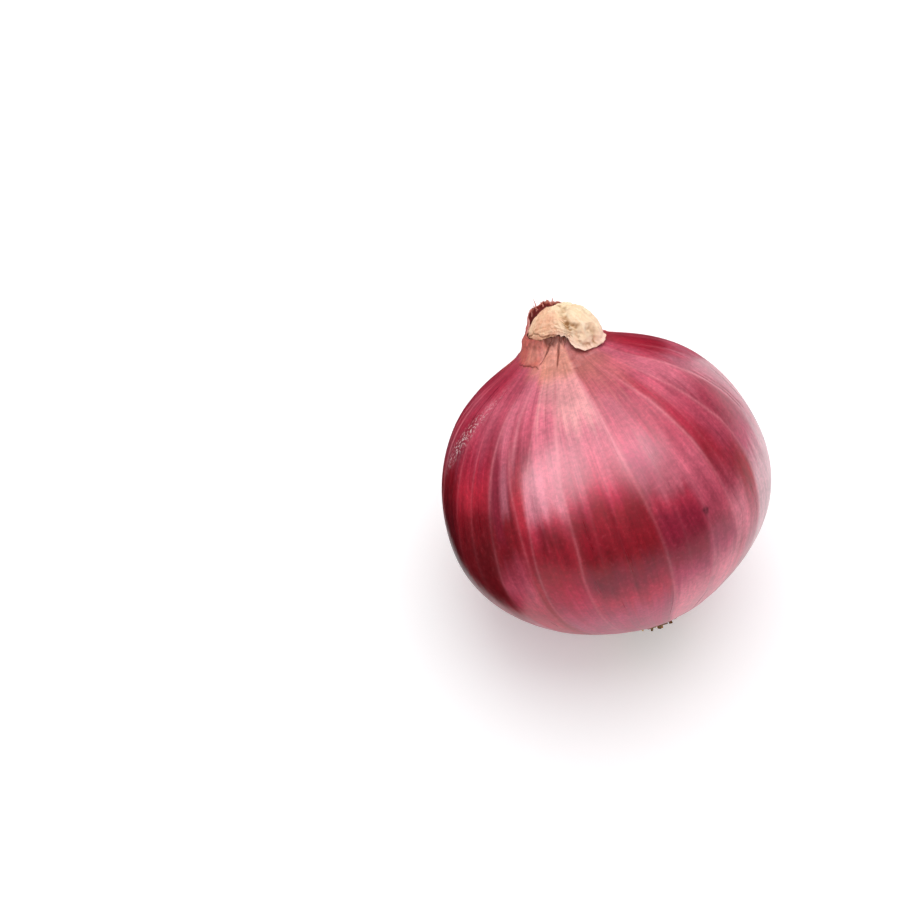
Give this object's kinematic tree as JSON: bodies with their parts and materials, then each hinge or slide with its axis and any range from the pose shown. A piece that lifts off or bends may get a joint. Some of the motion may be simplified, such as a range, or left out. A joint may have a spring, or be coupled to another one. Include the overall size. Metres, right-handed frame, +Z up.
{
  "type": "red onion",
  "caption": "Medium red onion, a full-shouldered bulb that lies tilted on a small flat spot, with a dried, folded leaf end in its neck and a root plate of dry root stubs.",
  "frame": {"origin": "middle of the flat spot that the onion rests on", "axes": "+Z straight up from the surface it rests on; the bulb's axis leans 42.3 degrees from +Z so that the neck points towards +Y and the root plate towards -Y; +X to the right of someone who looks from the root side, along +Y"},
  "size_m": [0.0594, 0.0571, 0.0557],
  "materials": {
    "onion_skin": "satin",
    "dried_leaf": "matte",
    "dry_roots": "matte"
  },
  "bodies": {
    "root": {"bulb": "onion_skin", "dried_leaf_end": "dried_leaf", "root_plate": "dry_roots"}
  },
  "joints": []
}
